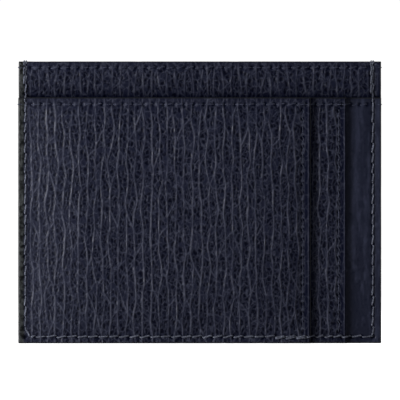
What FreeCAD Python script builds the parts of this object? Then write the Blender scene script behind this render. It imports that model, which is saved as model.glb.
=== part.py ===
import FreeCAD
import Part
import os

# Flat card holder in grained leather, standing on its bottom edge. All sizes are in millimetres.
# +X points to the slot mouths, +Y out of the back and +Z up. The origin is the middle of the
# bottom edge. From the front: a side slot, a second side slot, a pocket that is open at the top,
# and a back that stands taller than the pockets, so its inner face shows as a band above them.

# Overall sizes, over the painted edges. The strips are what shows of the panels behind each mouth,
# and the band is what shows of the back above the pockets.
holder_width = 95.0
holder_height = 73.8
band_height = 9.5
base_strip = 9.1
second_strip = 9.4

# Layers.
pocket_leather = 0.7
pocket_lining = 0.12
facing_leather = 0.45
back_leather = 0.8
card_gap = 0.86
center_gap = 0.9
edge_coat = 0.2

# Seams. An inset is measured from the painted edge to the middle of the thread.
left_seam_inset = 1.9
right_seam_inset = 2.2
bottom_seam_inset = 1.7
top_hem_inset = 1.6
pocket_hem_inset = 1.8
mouth_hem_inset = 2.1
seam_pitch = 2.72
top_hem_pitch = 2.55
pocket_hem_pitch = 2.7
mouth_hem_pitch = 2.42
step_margin = 1.2
thread_size = 0.4
thread_sink = 0.3
thread_dip = 0.17
thread_play = 0.05
needle_hole = 1.5 * thread_size

# Strips that keep the layers one card apart along the seams. The wall is the leather between a
# needle hole and a strip's inner side.
strip_wall = 0.4
strip_reach = needle_hole / 2 + strip_wall

# A hem starts just past the strip beside it, with the same wall to its first hole.
row_end_gap = 2 * strip_reach

# How far a cutting tool reaches past the face it cuts.
overcut = 1.0

# The layers from the back to the front, each as thick as it is there.
LAYERS = (
    ("back_leather", back_leather),
    ("facing_leather", facing_leather),
    ("center_pocket", center_gap),
    ("base_lining", pocket_lining),
    ("base_leather", pocket_leather),
    ("second_slot", card_gap),
    ("second_lining", pocket_lining),
    ("second_leather", pocket_leather),
    ("front_slot", card_gap),
    ("front_lining", pocket_lining),
    ("front_leather", pocket_leather),
)


def stack_layers():
    """Each layer's front and back, as distances along Y, with the stack centred on Y = 0."""
    back = sum(thickness for _, thickness in LAYERS) / 2
    faces = {}
    for name, thickness in LAYERS:
        faces[name] = (back - thickness, back)
        back -= thickness
    return faces


FACES = stack_layers()
back_face = FACES["back_leather"][1]
band_face = FACES["facing_leather"][0]
base_face = FACES["base_leather"][0]
second_face = FACES["second_leather"][0]
front_face = FACES["front_leather"][0]

# Edges over the paint, and the cut edges of the leather under it.
left = -holder_width / 2
right = holder_width / 2
pocket_height = holder_height - band_height
second_mouth = right - base_strip
front_mouth = second_mouth - second_strip
cut_left = left + edge_coat
cut_right = right - edge_coat
cut_bottom = edge_coat
cut_top = holder_height - edge_coat
cut_pocket_top = pocket_height - edge_coat
cut_front_mouth = front_mouth - edge_coat
cut_second_mouth = second_mouth - edge_coat

# Where the rows of stitches lie.
left_seam = left + left_seam_inset
right_seam = right - right_seam_inset
bottom_seam = bottom_seam_inset
pocket_hem = pocket_height - pocket_hem_inset
top_hem = holder_height - top_hem_inset
front_mouth_hem = front_mouth - mouth_hem_inset
second_mouth_hem = second_mouth - mouth_hem_inset
top_hole = holder_height - step_margin


def block(x_from, x_to, y_from, y_to, z_from, z_to):
    corner = FreeCAD.Vector(x_from, y_from, z_from)
    return Part.makeBox(x_to - x_from, y_to - y_from, z_to - z_from, corner)


def join(shapes):
    """One solid from solids that touch or overlap."""
    return shapes[0].multiFuse(shapes[1:]).removeSplitter()


# Rows of stitches. A row runs along X or Z. It is a list of runs, each (from, to, face), where face
# is the Y of the leather that the run lies on, and each run lies deeper than the one before it.

def space_holes(start, end, pitch):
    """Holes from start to end, both included, evenly spaced at about the pitch."""
    count = max(1, round((end - start) / pitch))
    return [start + (end - start) * i / count for i in range(count + 1)]


def space_row(edges, pitch):
    """The holes of a row whose runs meet at edges[1:-1], with a stitch across each of those."""
    holes = []
    for i, (start, end) in enumerate(zip(edges, edges[1:])):
        first = start if i == 0 else start + step_margin
        last = end if i == len(edges) - 2 else end - step_margin
        holes += space_holes(first, last, pitch)
    return holes


def needle_outline(runs, holes, knot, wrap_over=None):
    """The needle thread's side view, as (along the row, Y). It is sunk flush with the leather, dips
    at each hole and has a leg down to the knot. With wrap_over it also goes over the end of the
    leather and down the back to the last hole."""
    half = thread_size / 2
    outer = []
    inner = []
    for i, (start, end, face) in enumerate(runs):
        is_first = i == 0
        is_last = i == len(runs) - 1
        outer.append((start - half if is_first else start, face))
        inner.append((start - half if is_first else start - thread_sink, face + thread_sink))
        for hole in [h for h in holes if start <= h <= end]:
            at_start = is_first and hole == holes[0]
            at_end = is_last and hole == holes[-1] and wrap_over is None
            if not at_start and not at_end:
                outer += [(hole - half, face), (hole, face + thread_dip), (hole + half, face)]
            if not at_start:
                inner.append((hole - half, face + thread_sink))
            inner += [(hole - half, knot), (hole + half, knot)]
            if not at_end:
                inner.append((hole + half, face + thread_sink))
        if is_last and wrap_over is not None:
            stop = holes[-1] + half
            inner += [(end - thread_sink, face + thread_sink), (end - thread_sink, wrap_over - thread_sink)]
            inner.append((stop, wrap_over - thread_sink))
            outer += [(end, face), (end, wrap_over), (stop, wrap_over)]
        elif is_last:
            outer.append((end + half, face))
        else:
            outer.append((end, face))
            inner.append((end - thread_sink, face + thread_sink))
    return outer + inner[::-1]


def bobbin_outline(holes, face, knot):
    """The bobbin thread's side view: a straight run on a face that looks towards +Y, with a leg at
    each hole that meets the needle thread at the knot."""
    half = thread_size / 2
    outer = [(holes[0] - half, face)]
    inner = []
    for hole in holes:
        if hole not in (holes[0], holes[-1]):
            outer += [(hole - half, face), (hole, face - thread_dip), (hole + half, face)]
        inner += [
            (hole - half, face - thread_sink),
            (hole - half, knot),
            (hole + half, knot),
            (hole + half, face - thread_sink),
        ]
    outer.append((holes[-1] + half, face))
    return outer + inner[1:-1][::-1]


def sew(outline, along, middle):
    """A thread of the size across the row, from its side view. The row runs along X or Z."""
    start = middle - thread_size / 2
    if along == "X":
        points = [FreeCAD.Vector(s, y, start) for s, y in outline]
        sweep = FreeCAD.Vector(0, 0, thread_size)
    else:
        points = [FreeCAD.Vector(start, y, s) for s, y in outline]
        sweep = FreeCAD.Vector(thread_size, 0, 0)
    kept = [p for i, p in enumerate(points) if p.distanceToPoint(points[i - 1]) > 1e-6]
    return Part.Face(Part.makePolygon(kept + kept[:1])).extrude(sweep)


def groove(start, end, y_from, y_to, along, middle):
    """The straight channel that a thread lies in."""
    half = thread_size / 2 + thread_play
    if along == "X":
        return block(start, end, y_from, y_to, middle - half, middle + half)
    return block(middle - half, middle + half, y_from, y_to, start, end)


def needle_grooves(runs, along, middle):
    """The channels for the needle thread's runs and for its drop from each run to the next."""
    reach = thread_size / 2 + thread_play
    sink = thread_sink + thread_play
    cuts = []
    for i, (start, end, face) in enumerate(runs):
        is_last = i == len(runs) - 1
        first = start - (reach if i == 0 else sink)
        last = end + (reach if is_last else overcut)
        cuts.append(groove(first, last, face - overcut, face + sink, along, middle))
        if not is_last:
            deep = runs[i + 1][2] + sink
            cuts.append(groove(end - sink, end + overcut, face - overcut, deep, along, middle))
    return cuts


def bobbin_groove(holes, face, along, middle):
    reach = thread_size / 2 + thread_play
    sink = thread_sink + thread_play
    return groove(holes[0] - reach, holes[-1] + reach, face - sink, face + overcut, along, middle)


def needle_holes(holes, y_from, y_to, along, middle):
    cuts = []
    for hole in holes:
        x, z = (hole, middle) if along == "X" else (middle, hole)
        start = FreeCAD.Vector(x, y_from, z)
        cuts.append(Part.makeCylinder(needle_hole / 2, y_to - y_from, start, FreeCAD.Vector(0, 1, 0)))
    return cuts


def sew_outer_seam():
    """The seam up the left side, along the bottom and up the right side, through every layer."""
    left_runs = [(bottom_seam, pocket_height, front_face), (pocket_height, holder_height, band_face)]
    right_runs = [(bottom_seam, pocket_height, base_face), (pocket_height, holder_height, band_face)]
    bottom_runs = [
        (left_seam, front_mouth, front_face),
        (front_mouth, second_mouth, second_face),
        (second_mouth, right_seam, base_face),
    ]
    knot = (band_face + back_face) / 2
    side_holes = space_row([bottom_seam, pocket_height, top_hole], seam_pitch)
    bottom_holes = space_row([left_seam, front_mouth, second_mouth, right_seam], seam_pitch)
    needle = [
        sew(needle_outline(left_runs, side_holes, knot, back_face), "Z", left_seam),
        sew(needle_outline(bottom_runs, bottom_holes, knot), "X", bottom_seam),
        sew(needle_outline(right_runs, side_holes, knot, back_face), "Z", right_seam),
    ]
    bobbin = [
        sew(bobbin_outline(side_holes, back_face, knot), "Z", left_seam),
        sew(bobbin_outline(bottom_holes, back_face, knot), "X", bottom_seam),
        sew(bobbin_outline(side_holes, back_face, knot), "Z", right_seam),
    ]
    through = (front_face - overcut, back_face + overcut)
    sink = thread_sink + thread_play
    cuts = needle_grooves(bottom_runs, "X", bottom_seam)
    cuts.append(bobbin_groove(bottom_holes, back_face, "X", bottom_seam))
    cuts += needle_holes(bottom_holes, *through, "X", bottom_seam)
    for runs, seam in ((left_runs, left_seam), (right_runs, right_seam)):
        over_top = holder_height + overcut
        cuts += needle_grooves(runs, "Z", seam)
        over_edge = (band_face - overcut, back_face + overcut)
        cuts.append(groove(holder_height - sink, over_top, *over_edge, "Z", seam))
        cuts.append(groove(side_holes[0], over_top, back_face - sink, back_face + overcut, "Z", seam))
        cuts += needle_holes(side_holes, *through, "Z", seam)
    return {"outer_seam_needle_thread": join(needle), "outer_seam_bobbin_thread": join(bobbin)}, cuts


def sew_hem(name, edges, faces, back, along, middle, pitch):
    """A hem: a needle thread on the faces, a bobbin thread on the back, and what they cut away."""
    holes = space_row(edges, pitch)
    runs = [(start, end, face) for start, end, face in zip(edges, edges[1:], faces)]
    knot = (faces[-1] + back) / 2
    threads = {
        name + "_needle_thread": sew(needle_outline(runs, holes, knot), along, middle),
        name + "_bobbin_thread": sew(bobbin_outline(holes, back, knot), along, middle),
    }
    cuts = needle_grooves(runs, along, middle)
    cuts.append(bobbin_groove(holes, back, along, middle))
    cuts += needle_holes(holes, faces[0] - overcut, back, along, middle)
    return threads, cuts


def sew_hems():
    """The dark rows along the top of the back, the top of the pockets and both slot mouths."""
    row_left = left_seam + row_end_gap
    row_right = right_seam - row_end_gap
    pocket_edges = [row_left, front_mouth, second_mouth, row_right]
    pocket_faces = [front_face, second_face, base_face]
    base_back = FACES["base_lining"][1]
    second_back = FACES["second_lining"][1]
    front_back = FACES["front_lining"][1]
    hems = [
        sew_hem("top_hem", [row_left, row_right], [band_face], back_face, "X", top_hem, top_hem_pitch),
        sew_hem("pocket_hem", pocket_edges, pocket_faces, base_back, "X", pocket_hem, pocket_hem_pitch),
    ]
    mouth_edges = [bottom_seam + row_end_gap, pocket_hem - row_end_gap]
    for name, face, back, middle in (
        ("second_mouth_hem", second_face, second_back, second_mouth_hem),
        ("front_mouth_hem", front_face, front_back, front_mouth_hem),
    ):
        hems.append(sew_hem(name, mouth_edges, [face], back, "Z", middle, mouth_hem_pitch))
    return hems


def cut_panels():
    """The leather and lining panels, each from the left edge and the bottom to its own far edges."""
    outlines = {
        "back_leather": (cut_right, cut_top),
        "facing_leather": (cut_right, cut_top),
        "base_lining": (cut_right, cut_pocket_top),
        "base_leather": (cut_right, cut_pocket_top),
        "second_lining": (cut_second_mouth, cut_pocket_top),
        "second_leather": (cut_second_mouth, cut_pocket_top),
        "front_lining": (cut_front_mouth, cut_pocket_top),
        "front_leather": (cut_front_mouth, cut_pocket_top),
    }
    return {
        name: block(cut_left, x_end, *FACES[name], cut_bottom, z_end)
        for name, (x_end, z_end) in outlines.items()
    }


def cut_spacers():
    """Three straight strips round each slot and round the top pocket, on the sides that are sewn."""
    inner_left = left_seam + strip_reach
    inner_right = right_seam - strip_reach
    inner_bottom = bottom_seam + strip_reach
    inner_top = pocket_hem - strip_reach
    spacers = {}
    for slot, mouth in (("front_slot", cut_front_mouth), ("second_slot", cut_second_mouth)):
        depth = FACES[slot]
        spacers[slot + "_left_spacer"] = block(cut_left, inner_left, *depth, cut_bottom, cut_pocket_top)
        spacers[slot + "_bottom_spacer"] = block(inner_left, mouth, *depth, cut_bottom, inner_bottom)
        spacers[slot + "_top_spacer"] = block(inner_left, mouth, *depth, inner_top, cut_pocket_top)
    depth = FACES["center_pocket"]
    spacers["center_left_spacer"] = block(cut_left, inner_left, *depth, cut_bottom, cut_pocket_top)
    spacers["center_right_spacer"] = block(inner_right, cut_right, *depth, cut_bottom, cut_pocket_top)
    spacers["center_bottom_spacer"] = block(inner_left, inner_right, *depth, cut_bottom, inner_bottom)
    return spacers


def paint_edges():
    """The coat of edge paint on every cut edge that shows."""
    pocket_back = FACES["base_lining"][1]
    side_top = (pocket_height, cut_top)
    bottom = [
        block(left, front_mouth, front_face, back_face, 0, cut_bottom),
        block(left, second_mouth, second_face, back_face, 0, cut_bottom),
        block(left, right, base_face, back_face, 0, cut_bottom),
    ]
    pocket_top = [
        block(cut_left, front_mouth, front_face, pocket_back, cut_pocket_top, pocket_height),
        block(cut_left, second_mouth, second_face, pocket_back, cut_pocket_top, pocket_height),
        block(cut_left, cut_right, base_face, pocket_back, cut_pocket_top, pocket_height),
    ]
    left_side = [
        block(left, cut_left, front_face, back_face, cut_bottom, pocket_height),
        block(left, cut_left, band_face, back_face, *side_top),
    ]
    right_side = [
        block(cut_right, right, base_face, back_face, cut_bottom, pocket_height),
        block(cut_right, right, band_face, back_face, *side_top),
    ]
    second_depth = (second_face, FACES["second_lining"][1])
    front_depth = (front_face, FACES["front_lining"][1])
    mouth_height = (cut_bottom, cut_pocket_top)
    return {
        "bottom_edge_paint": join(bottom),
        "left_edge_paint": join(left_side),
        "right_edge_paint": join(right_side),
        "top_edge_paint": block(left, right, band_face, back_face, cut_top, holder_height),
        "pocket_edge_paint": join(pocket_top),
        "second_mouth_edge_paint": block(cut_second_mouth, second_mouth, *second_depth, *mouth_height),
        "front_mouth_edge_paint": block(cut_front_mouth, front_mouth, *front_depth, *mouth_height),
    }


def carve(shape, cuts):
    """The shape without the grooves and needle holes that reach it."""
    near = [cut for cut in cuts if shape.BoundBox.intersect(cut.BoundBox)]
    return shape.cut(near) if near else shape


def build():
    threads, cuts = sew_outer_seam()
    for hem_threads, hem_cuts in sew_hems():
        threads.update(hem_threads)
        cuts += hem_cuts
    pieces = {**cut_panels(), **cut_spacers(), **paint_edges()}
    pieces = {name: carve(shape, cuts) for name, shape in pieces.items()}
    return {**pieces, **threads}


os.makedirs("parts", exist_ok=True)
for node, shape in build().items():
    shape.exportStep(os.path.join("parts", node + ".step"))
    print(node, "solids", len(shape.Solids), "valid", shape.isValid(), "mm3", round(shape.Volume, 2))
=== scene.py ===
import math
import bmesh
import bpy
import numpy as np
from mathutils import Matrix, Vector


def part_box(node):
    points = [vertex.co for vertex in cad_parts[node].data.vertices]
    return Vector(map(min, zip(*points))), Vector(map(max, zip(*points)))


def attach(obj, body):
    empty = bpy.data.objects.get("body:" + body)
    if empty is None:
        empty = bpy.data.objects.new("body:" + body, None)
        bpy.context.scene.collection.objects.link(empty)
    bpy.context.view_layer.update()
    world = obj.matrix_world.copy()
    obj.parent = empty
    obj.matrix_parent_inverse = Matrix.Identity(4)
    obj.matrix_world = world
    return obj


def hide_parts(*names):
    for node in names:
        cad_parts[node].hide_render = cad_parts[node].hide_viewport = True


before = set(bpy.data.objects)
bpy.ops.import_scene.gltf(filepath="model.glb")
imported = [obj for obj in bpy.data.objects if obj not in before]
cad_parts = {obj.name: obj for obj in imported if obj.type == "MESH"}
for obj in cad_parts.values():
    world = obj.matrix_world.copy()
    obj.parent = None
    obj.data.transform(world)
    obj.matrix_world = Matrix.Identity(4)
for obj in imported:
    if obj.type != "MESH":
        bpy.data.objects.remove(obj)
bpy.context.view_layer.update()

mm = 0.001
body = "root"

# Card holder in navy grained leather. X runs to the slot mouths, Y out of the back, Z up.
# Lengths in the dictionaries are millimetres, places come from the frame.


def nodeBox(node):
    lo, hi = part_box(node)
    return np.array(lo) / mm, np.array(hi) / mm


leftEdge, bottomEdge = nodeBox("bottom_edge_paint")[0][[0, 2]]
rightEdge = nodeBox("bottom_edge_paint")[1][0]
topEdge, pocketTop = (nodeBox(row + "_edge_paint")[1][2] for row in ("top", "pocket"))
frontMouth, secondMouth = (nodeBox(row + "_mouth_edge_paint")[1][0] for row in ("front", "second"))
frontFace, secondFace, baseFace, bandFace = (
    nodeBox(panel + "_leather")[0][1] for panel in ("front", "second", "base", "facing"))
backFace = nodeBox("back_leather")[1][1]

seamLo, seamHi = nodeBox("outer_seam_needle_thread")
threadSize = np.ptp([side[0] for side in nodeBox("front_mouth_hem_needle_thread")])
leftSeam = seamLo[0] + threadSize / 2
rightSeam = seamHi[0] - threadSize / 2
bottomSeam = seamLo[2] + threadSize / 2
topHem, pocketHem = (nodeBox(row + "_hem_needle_thread")[1][2] - threadSize / 2 for row in ("top", "pocket"))
frontMouthHem, secondMouthHem = (
    nodeBox(row + "_mouth_hem_needle_thread")[1][0] - threadSize / 2 for row in ("front", "second"))


def newObject(name, data):
    obj = bpy.data.objects.new(name, data)
    bpy.context.scene.collection.objects.link(obj)
    return obj


camera = {"lens": 800, "sensor": 36, "viewWidth": 104.55, "right": 0.04, "up": 0.59}


def placeCamera():
    data = bpy.data.cameras.new("camera")
    data.lens = camera["lens"]
    data.sensor_width = camera["sensor"]
    data.clip_end = 20
    obj = newObject("camera", data)
    distance = camera["viewWidth"] * camera["lens"] / camera["sensor"]
    x = (leftEdge + rightEdge) / 2 + camera["right"]
    z = (bottomEdge + topEdge) / 2 + camera["up"]
    obj.location = Vector((x, frontFace - distance, z)) * mm
    obj.rotation_euler = (math.pi / 2, 0, 0)
    bpy.context.scene.camera = obj


placeCamera()
print("camera placed")


# Smooth noise from -1 to 1, with its own step along each axis
def waves(x, z, stepX, stepZ, seed):
    table = np.random.default_rng(seed).uniform(-1, 1, (128, 128))
    gx, gz = x / stepX + 500.0, z / stepZ + 500.0
    ix, iz = np.floor(gx).astype(int), np.floor(gz).astype(int)
    fx, fz = gx - ix, gz - iz
    fx, fz = fx * fx * (3 - 2 * fx), fz * fz * (3 - 2 * fz)
    ix, iz, jx, jz = ix % 128, iz % 128, (ix + 1) % 128, (iz + 1) % 128
    low = table[ix, iz] * (1 - fx) + table[jx, iz] * fx
    high = table[ix, jz] * (1 - fx) + table[jx, jz] * fx
    return low * (1 - fz) + high * fz


def ramp(value, start, end):
    t = np.clip((value - start) / (end - start), 0, 1)
    return t * t * (3 - 2 * t)


# Distance to the nearest border of a net of long cells, how upright that border is,
# a number for each cell and a number for each border
def cellNet(x, z, width, height, seed, jitter=0.85):
    rng = np.random.default_rng(seed)
    shift = rng.uniform(-0.5, 0.5, (97, 89, 2)) * jitter
    label = rng.uniform(0, 1, (97, 89))
    u, v = x / width + 200.0, z / height + 200.0
    iu, iv = np.floor(u).astype(int), np.floor(v).astype(int)
    spots = []
    for du in (-2, -1, 0, 1, 2):
        for dv in (-2, -1, 0, 1, 2):
            cu, cv = iu + du, iv + dv
            move = shift[cu % 97, cv % 89]
            odd = 0.5 * (cu % 2)
            spots.append((cu + 0.5 + move[..., 0], cv + 0.5 + odd + move[..., 1], label[cu % 97, cv % 89]))
    near = np.full(u.shape, 1e9)
    nearU, nearV, nearLabel = np.zeros_like(u), np.zeros_like(u), np.zeros_like(u)
    for su, sv, name in spots:
        gap = (su - u) ** 2 + (sv - v) ** 2
        closer = gap < near
        near = np.where(closer, gap, near)
        nearU, nearV = np.where(closer, su, nearU), np.where(closer, sv, nearV)
        nearLabel = np.where(closer, name, nearLabel)
    border = np.full(u.shape, 1e9)
    upright, pair = np.zeros_like(u), np.zeros_like(u)
    for su, sv, name in spots:
        nu, nv = su - nearU, sv - nearV
        length = np.hypot(nu, nv)
        same = length < 1e-6
        length = np.where(same, 1, length)
        nu, nv = nu / length, nv / length
        depth = ((su + nearU) / 2 - u) * nu + ((sv + nearV) / 2 - v) * nv
        slope = np.hypot(nu / width, nv / height)
        depth = np.where(same, 1e9, depth / slope)
        closer = depth < border
        border = np.where(closer, depth, border)
        upright = np.where(closer, np.abs(nu / width) / slope, upright)
        pair = np.where(closer, (name + nearLabel) * 7.31 % 1, pair)
    return border, upright, nearLabel, pair


# The grain: long upright veins, a finer web between them, and pits inside the web. The veins' bright tone is partly
# the leather's own two-tone and partly a painted highlight of the sheen on their ridges.
grainLook = {
    "veinGap": 2.1, "veinRun": 12.0, "veinWidth": 0.12, "veinHeight": 0.13, "veinJitter": 0.5,
    "webGap": 1.05, "webRun": 1.3, "webWidth": 0.12, "webHeight": 0.05,
    "pitDepth": 0.12, "wander": 0.42, "swell": 0.03, "veinShow": 1.0,
}


def grain(x, z, look, seed):
    driftX = look["wander"] * waves(x, z, 6.0, 9.0, seed) + 0.22 * waves(x, z, 1.7, 3.4, seed + 1)
    vx = x + driftX
    vein, upright, _, strength = cellNet(vx, z, look["veinGap"], look["veinRun"], seed + 2, look["veinJitter"])
    width = look["veinWidth"] * (1 + 0.35 * waves(x, z, 2.2, 3.5, seed + 3))
    line = np.exp(-((vein / width) ** 2))
    line *= (0.28 + 0.72 * upright**2) * (0.55 + 0.45 * ramp(strength, 0.05, 0.5))
    line *= 0.74 + 0.46 * waves(x, z, 0.34, 0.46, seed + 4) + 0.22 * waves(x, z, 1.5, 3.0, seed + 9)
    line = np.clip(line, 0, 1)
    wx = vx + 0.28 * waves(x, z, 1.1, 1.1, seed + 5)
    wz = z + 0.4 * waves(x, z, 1.3, 1.2, seed + 6)
    web, _, cell, bond = cellNet(wx, wz, look["webGap"], look["webRun"], seed + 7)
    thread = np.exp(-((web / look["webWidth"]) ** 2)) * (0.25 + 0.75 * bond)
    pit = ramp(web, 0.0, 0.3) * ramp(cell, 0.0, 0.35) * (1 - line)
    pit *= 1 - np.exp(-((vein / 0.3) ** 2))
    height = look["veinHeight"] * line + look["webHeight"] * thread * (1 - line) - look["pitDepth"] * pit
    height += look["swell"] * waves(x, z, 3.0, 5.0, seed + 8)
    # bright: the veins drawn lighter, partly as a painted highlight of the sheen on their ridges
    bright = look["veinShow"] * np.clip(line + 0.15 * thread * (1 - line), 0, 1)
    return height, bright, pit


def spread(start, end, step):
    return np.linspace(start, end, max(2, int(round((end - start) / step)) + 1))


# Grid lines: fine in the stretch that shows, wide where it is hidden, and close at both ends
def gridLines(start, end, fine, shown=None, wide=2.0):
    ends = np.array([0, 0.07, 0.16, 0.28, 0.42])
    shown = shown or (start, end)
    lines = [start + ends, end - ends, spread(shown[0], shown[1], fine)]
    if shown[0] > start + wide:
        lines.append(spread(start, shown[0], wide))
    if shown[1] < end - wide:
        lines.append(spread(shown[1], end, wide))
    lines = np.unique(np.round(np.concatenate(lines), 4))
    lines = lines[(lines >= start - 1e-6) & (lines <= end + 1e-6)]
    keep = [lines[0]]
    for value in lines[1:-1]:
        if value - keep[-1] > 0.045:
            keep.append(value)
    if lines[-1] - keep[-1] < 0.045:
        keep.pop()
    return np.array(keep + [lines[-1]])


def linkMesh(name, points, faces, material, sharpAngle=1.1):
    mesh = bpy.data.meshes.new(name)
    mesh.from_pydata((np.asarray(points) * mm).tolist(), [], faces)
    mesh.validate()
    mesh.shade_smooth()
    mesh.set_sharp_from_angle(angle=sharpAngle)
    obj = newObject(name, mesh)
    obj.data.materials.append(material)
    return obj


def finishPiece(obj, node):
    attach(obj, body)
    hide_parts(node)
    return obj


# A panel with a shaped side and a flat one. shape gives the shaped side's rise and its tones.
def panel(name, node, xs, zs, side, shape, material, slot):
    lo, hi = nodeBox(node)
    x, z = np.meshgrid(xs, zs)
    rise, tones = shape(x, z)
    face, flat = (lo[1], hi[1]) if side < 0 else (hi[1], lo[1])
    rows, columns = x.shape
    top = np.stack([x.ravel(), (face + side * rise).ravel(), z.ravel()], 1)
    index = np.arange(rows * columns).reshape(rows, columns)
    rim = np.concatenate([index[0, :], index[1:, -1], index[-1, -2::-1], index[-2:0:-1, 0]])
    below = top[rim].copy()
    below[:, 1] = flat
    quads = np.stack([index[:-1, :-1], index[:-1, 1:], index[1:, 1:], index[1:, :-1]], -1).reshape(-1, 4)
    count = len(rim)
    under = np.arange(count) + rows * columns
    walls = np.stack([rim, under, np.roll(under, -1), np.roll(rim, -1)], 1)
    if side > 0:
        quads, walls = quads[:, ::-1], walls[:, ::-1]
        bottom = under.tolist()
    else:
        bottom = under[::-1].tolist()
    faces = quads.tolist() + walls.tolist() + [bottom]
    obj = linkMesh(name, np.concatenate([top, below]), faces, material)
    colour = np.zeros((rows * columns + count, 4), np.float32)
    colour[: rows * columns] = np.stack([t.ravel() for t in tones], 1)
    layer = obj.data.attributes.new("tones", "FLOAT_COLOR", "POINT")
    layer.data.foreach_set("color", colour.ravel())
    return finishPiece(obj, node)


# How far the leather drops towards an edge, for a distance in from it
def shoulder(distance, radius=0.28, drop=0.16):
    t = np.clip(1 - distance / radius, 0, 1)
    return -drop * (1 - np.sqrt(np.clip(1 - t * t, 0, 1)))


# A sewn line pulls the leather in. Each needle hole makes a dimple, and the leather puckers between.
sewnLook = {
    "reach": 0.6, "runOut": 1.2, "dimple": 0.24, "holeSize": 0.52, "holeFall": 2.6,
    "puckerAt": 0.72, "puckerLong": 0.3, "puckerSide": -0.08, "puckerWide": 0.34,
}


def sewnLine(x, z, row):
    way, place, holes, depth = row[:4]
    along, across = (x, z - place) if way == "x" else (z, x - place)
    look, runOut = sewnLook, sewnLook["runOut"]
    groove = -depth * np.exp(-((across / look["reach"]) ** 2))
    inside = ramp(along, holes[0] - runOut, holes[0]) * (1 - ramp(along, holes[-1], holes[-1] + runOut))
    nearest = np.searchsorted(holes, along)
    before = np.abs(along - holes[np.clip(nearest - 1, 0, len(holes) - 1)])
    after = np.abs(along - holes[np.clip(nearest, 0, len(holes) - 1)])
    toHole = np.hypot(np.minimum(before, after), across)
    hole = np.exp(-((toHole / look["holeSize"]) ** look["holeFall"]))
    signed = np.where(before < after, before, -after)
    pucker = np.exp(-(((signed - look["puckerAt"]) / look["puckerLong"]) ** 2))
    pucker *= np.exp(-(((across - look["puckerSide"]) / look["puckerWide"]) ** 2))
    return groove * inside - look["dimple"] * hole, hole, inside * pucker, across


def evenHoles(start, end, pitch):
    return np.linspace(start, end, max(2, int(round((end - start) / pitch)) + 1))


seams = {"sidePitch": 2.72, "bottomPitch": 2.72, "topPitch": 2.55, "pocketPitch": 2.7, "mouthPitch": 2.42,
         "stepMargin": 1.2, "hemGap": 1.4}


def steppedHoles(stops, pitch):
    margin = seams["stepMargin"]
    holes = []
    for i, (start, end) in enumerate(zip(stops, stops[1:])):
        first = start if i == 0 else start + margin
        last = end if i == len(stops) - 2 else end - margin
        holes.append(evenHoles(first, last, pitch))
    return np.concatenate(holes)


sideHoles = steppedHoles([bottomSeam, pocketTop, topEdge - seams["stepMargin"]], seams["sidePitch"])
bottomHoles = steppedHoles([leftSeam, frontMouth, secondMouth, rightSeam], seams["bottomPitch"])
topHemHoles = evenHoles(leftSeam + seams["hemGap"], rightSeam - seams["hemGap"], seams["topPitch"])
pocketHemHoles = steppedHoles(
    [leftSeam + seams["hemGap"], frontMouth, secondMouth, rightSeam - seams["hemGap"]], seams["pocketPitch"])
mouthHoles = evenHoles(bottomSeam + seams["hemGap"], pocketHem - seams["hemGap"], seams["mouthPitch"])


# Fills a node's sockets from values or from other sockets
def plug(tree, node, sockets):
    for name, value in sockets.items():
        if isinstance(value, bpy.types.NodeSocket):
            tree.links.new(value, node.inputs[name])
        else:
            node.inputs[name].default_value = value
    return node


def addNode(tree, kind, sockets, output=0, **settings):
    node = tree.nodes.new(kind)
    for name, value in settings.items():
        setattr(node, name, value)
    return plug(tree, node, sockets).outputs[output]


def newMaterial(name):
    material = bpy.data.materials.new(name)
    material.use_nodes = True
    tree = material.node_tree
    tree.nodes.clear()
    shader = tree.nodes.new("ShaderNodeBsdfPrincipled")
    plug(tree, tree.nodes.new("ShaderNodeOutputMaterial"), {"Surface": shader.outputs[0]})
    return material, tree, shader


def objectPlace(tree):
    return addNode(tree, "ShaderNodeTexCoord", {}, "Object")


def rampNode(tree, source, *stops):
    node = tree.nodes.new("ShaderNodeValToRGB")
    for element, (place, colour) in zip(node.color_ramp.elements, stops):
        element.position = place
        element.color = (*colour, 1)
    return plug(tree, node, {0: source}).outputs[0]


def noiseNode(tree, source, scale, detail=3.0, stretch=(1, 1, 1), output=0):
    place = addNode(tree, "ShaderNodeMapping", {"Vector": source, "Scale": stretch})
    return addNode(tree, "ShaderNodeTexNoise", {"Vector": place, "Scale": scale, "Detail": detail}, output)


def cellNode(tree, source, feature, scale):
    return addNode(tree, "ShaderNodeTexVoronoi", {"Vector": source, "Scale": scale}, "Distance", feature=feature)


def timesNode(tree, source, factor, clamp=False):
    return addNode(tree, "ShaderNodeMath", {0: source, 1: factor}, operation="MULTIPLY", use_clamp=clamp)


def mixNode(tree, blend, factor, first, second):
    colours = [c if isinstance(c, bpy.types.NodeSocket) else (*c, 1) for c in (first, second)]
    return addNode(tree, "ShaderNodeMix", {0: factor, 6: colours[0], 7: colours[1]}, 2,
                   data_type="RGBA", blend_type=blend, clamp_result=True)


def bumpNode(tree, height, strength, distance, before=None):
    sockets = {"Height": height, "Strength": strength, "Distance": distance * mm}
    if before is not None:
        sockets["Normal"] = before
    return addNode(tree, "ShaderNodeBump", sockets)


black, white = (0, 0, 0), (1, 1, 1)

# vein and web: lighter, partly a painted highlight of the sheen on the ridges. pit: darker, partly painted shade. The
# shade colour below is painted shade.
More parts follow.
